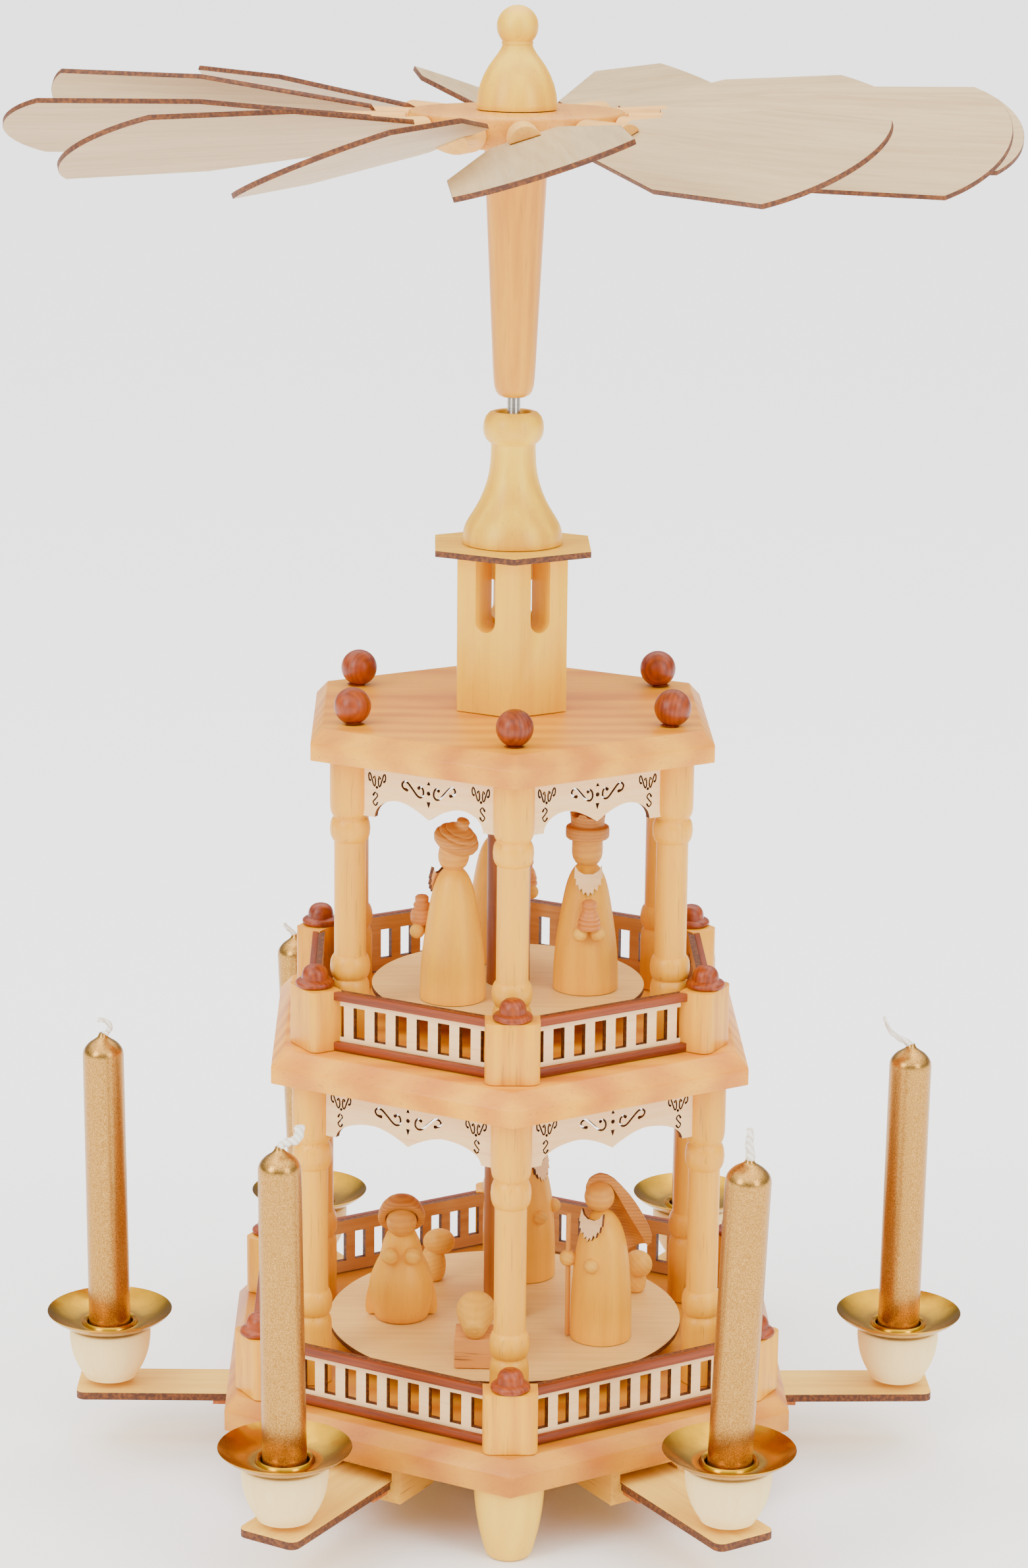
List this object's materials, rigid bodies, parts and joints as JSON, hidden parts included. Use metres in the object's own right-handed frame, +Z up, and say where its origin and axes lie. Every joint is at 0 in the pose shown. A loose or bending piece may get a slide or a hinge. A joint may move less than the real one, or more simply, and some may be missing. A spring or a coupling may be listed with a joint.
{
  "type": "candle carousel",
  "caption": "Two-tier wooden candle carousel: a bladed rotor over candles on slide-out arms turns an axle with two discs of figures inside a hexagonal column stand.",
  "frame": {"origin": "on the rotor's axis, level with the soles of the feet", "axes": "+Z up along the axle; -Y towards the front corner of the hexagons, on which one foot stands; +X to the viewer's right"},
  "size_m": [0.3133, 0.3132, 0.4699],
  "materials": {
    "beech": "clear satin lacquer over orange-brown beech",
    "birch_ply": "sanded pale plywood with laser-browned edges",
    "pale_wood": "turned pale wood, waxed",
    "brass": "polished",
    "gold_wax": "metallic gold lacquer over wax",
    "steel": "bare ground rod"
  },
  "bodies": {
    "stand": {"base_plate": "beech", "foot_1": "beech", "foot_2": "beech", "foot_3": "beech", "lower_arcade": "beech", "lower_balustrade": "beech", "middle_plate": "beech", "upper_arcade": "beech", "upper_balustrade": "beech", "top_plate": "beech", "tower": "beech", "tower_cover": "birch_ply", "bell_neck": "beech", "bearing_cup": "brass"},
    "rotor": {"spindle": "steel", "axle_dowel": "beech", "lower_turntable": "birch_ply", "upper_turntable": "birch_ply", "rotor_sleeve": "beech", "hub": "beech", "hub_cap": "beech", "king_1": "pale_wood", "king_2": "pale_wood", "king_3": "pale_wood", "kneeling_woman": "pale_wood", "man_with_staff": "pale_wood", "shepherd": "pale_wood", "sheep_1": "pale_wood", "sheep_2": "pale_wood", "crib": "pale_wood"},
    "blade_body_1": {"blade_1": "birch_ply"},
    "blade_body_2": {"blade_2": "birch_ply"},
    "blade_body_3": {"blade_3": "birch_ply"},
    "blade_body_4": {"blade_4": "birch_ply"},
    "blade_body_5": {"blade_5": "birch_ply"},
    "blade_body_6": {"blade_6": "birch_ply"},
    "blade_body_7": {"blade_7": "birch_ply"},
    "blade_body_8": {"blade_8": "birch_ply"},
    "blade_body_9": {"blade_9": "birch_ply"},
    "blade_body_10": {"blade_10": "birch_ply"},
    "blade_body_11": {"blade_11": "birch_ply"},
    "blade_body_12": {"blade_12": "birch_ply"},
    "arm_body_1": {"arm_1": "birch_ply", "drip_pan_1": "brass"},
    "candle_body_1": {"candle_1": "gold_wax"},
    "arm_body_2": {"arm_2": "birch_ply", "drip_pan_2": "brass"},
    "candle_body_2": {"candle_2": "gold_wax"},
    "arm_body_3": {"arm_3": "birch_ply", "drip_pan_3": "brass"},
    "candle_body_3": {"candle_3": "gold_wax"},
    "arm_body_4": {"arm_4": "birch_ply", "drip_pan_4": "brass"},
    "candle_body_4": {"candle_4": "gold_wax"},
    "arm_body_5": {"arm_5": "birch_ply", "drip_pan_5": "brass"},
    "candle_body_5": {"candle_5": "gold_wax"},
    "arm_body_6": {"arm_6": "birch_ply", "drip_pan_6": "brass"},
    "candle_body_6": {"candle_6": "gold_wax"}
  },
  "joints": [
    {"name": "rotor_spin", "type": "hinge", "parent": "stand", "child": "rotor", "pos_m": [0, 0, 0.0365], "axis": [0, 0, 1], "continuous": true},
    {"name": "blade_pitch_1", "type": "hinge", "parent": "rotor", "child": "blade_body_1", "pos_m": [0.001, -0.03379, 0.4328], "axis": [0.0297, -0.9996, 0], "range_deg": [-8, 25]},
    {"name": "blade_pitch_2", "type": "hinge", "parent": "rotor", "child": "blade_body_2", "pos_m": [0.01958, -0.02755, 0.4328], "axis": [0.5793, -0.8151, 0], "range_deg": [-8, 25]},
    {"name": "blade_pitch_3", "type": "hinge", "parent": "rotor", "child": "blade_body_3", "pos_m": [0.03061, -0.01434, 0.4328], "axis": [0.9056, -0.4242, 0], "range_deg": [-8, 25]},
    {"name": "blade_pitch_4", "type": "hinge", "parent": "rotor", "child": "blade_body_4", "pos_m": [0.03378, 0.00112, 0.4328], "axis": [0.9995, 0.0332, 0], "range_deg": [-8, 25]},
    {"name": "blade_pitch_5", "type": "hinge", "parent": "rotor", "child": "blade_body_5", "pos_m": [0.02848, 0.01821, 0.4328], "axis": [0.8425, 0.5388, 0], "range_deg": [-8, 25]},
    {"name": "blade_pitch_6", "type": "hinge", "parent": "rotor", "child": "blade_body_6", "pos_m": [0.0168, 0.02933, 0.4328], "axis": [0.497, 0.8678, 0], "range_deg": [-8, 25]},
    {"name": "blade_pitch_7", "type": "hinge", "parent": "rotor", "child": "blade_body_7", "pos_m": [-0.00177, 0.03375, 0.4328], "axis": [-0.0523, 0.9986, 0], "range_deg": [-8, 25]},
    {"name": "blade_pitch_8", "type": "hinge", "parent": "rotor", "child": "blade_body_8", "pos_m": [-0.01953, 0.02758, 0.4328], "axis": [-0.5779, 0.8161, 0], "range_deg": [-8, 25]},
    {"name": "blade_pitch_9", "type": "hinge", "parent": "rotor", "child": "blade_body_9", "pos_m": [-0.03123, 0.01294, 0.4328], "axis": [-0.9239, 0.3827, 0], "range_deg": [-8, 25]},
    {"name": "blade_pitch_10", "type": "hinge", "parent": "rotor", "child": "blade_body_10", "pos_m": [-0.03377, -0.00147, 0.4328], "axis": [-0.999, -0.0436, 0], "range_deg": [-8, 25]},
    {"name": "blade_pitch_11", "type": "hinge", "parent": "rotor", "child": "blade_body_11", "pos_m": [-0.02775, -0.01929, 0.4328], "axis": [-0.8211, -0.5707, 0], "range_deg": [-8, 25]},
    {"name": "blade_pitch_12", "type": "hinge", "parent": "rotor", "child": "blade_body_12", "pos_m": [-0.01385, -0.03083, 0.4328], "axis": [-0.4099, -0.9121, 0], "range_deg": [-8, 25]},
    {"name": "arm_slide_1", "type": "slide", "parent": "stand", "child": "arm_body_1", "axis": [0.512, -0.859, 0], "range_m": [0, 0.03]},
    {"name": "candle_lift_1", "type": "slide", "parent": "arm_body_1", "child": "candle_body_1", "axis": [0, 0, 1], "range_m": [0, 0.03]},
    {"name": "arm_slide_2", "type": "slide", "parent": "stand", "child": "arm_body_2", "axis": [0.9999, 0.014, 0], "range_m": [-0.00156, 0.02844]},
    {"name": "candle_lift_2", "type": "slide", "parent": "arm_body_2", "child": "candle_body_2", "axis": [0, 0, 1], "range_m": [0, 0.03]},
    {"name": "arm_slide_3", "type": "slide", "parent": "stand", "child": "arm_body_3", "axis": [0.509, 0.8607, 0], "range_m": [-0.00663, 0.02337]},
    {"name": "candle_lift_3", "type": "slide", "parent": "arm_body_3", "child": "candle_body_3", "axis": [0, 0, 1], "range_m": [0, 0.03]},
    {"name": "arm_slide_4", "type": "slide", "parent": "stand", "child": "arm_body_4", "axis": [-0.4955, 0.8686, 0], "range_m": [-0.0078, 0.0222]},
    {"name": "candle_lift_4", "type": "slide", "parent": "arm_body_4", "child": "candle_body_4", "axis": [0, 0, 1], "range_m": [0, 0.03]},
    {"name": "arm_slide_5", "type": "slide", "parent": "stand", "child": "arm_body_5", "axis": [-0.9998, 0.0175, 0], "range_m": [-0.00117, 0.02883]},
    {"name": "candle_lift_5", "type": "slide", "parent": "arm_body_5", "child": "candle_body_5", "axis": [0, 0, 1], "range_m": [0, 0.03]},
    {"name": "arm_slide_6", "type": "slide", "parent": "stand", "child": "arm_body_6", "axis": [-0.5299, -0.848, 0], "range_m": [-0.00039, 0.02961]},
    {"name": "candle_lift_6", "type": "slide", "parent": "arm_body_6", "child": "candle_body_6", "axis": [0, 0, 1], "range_m": [0, 0.03]}
  ]
}
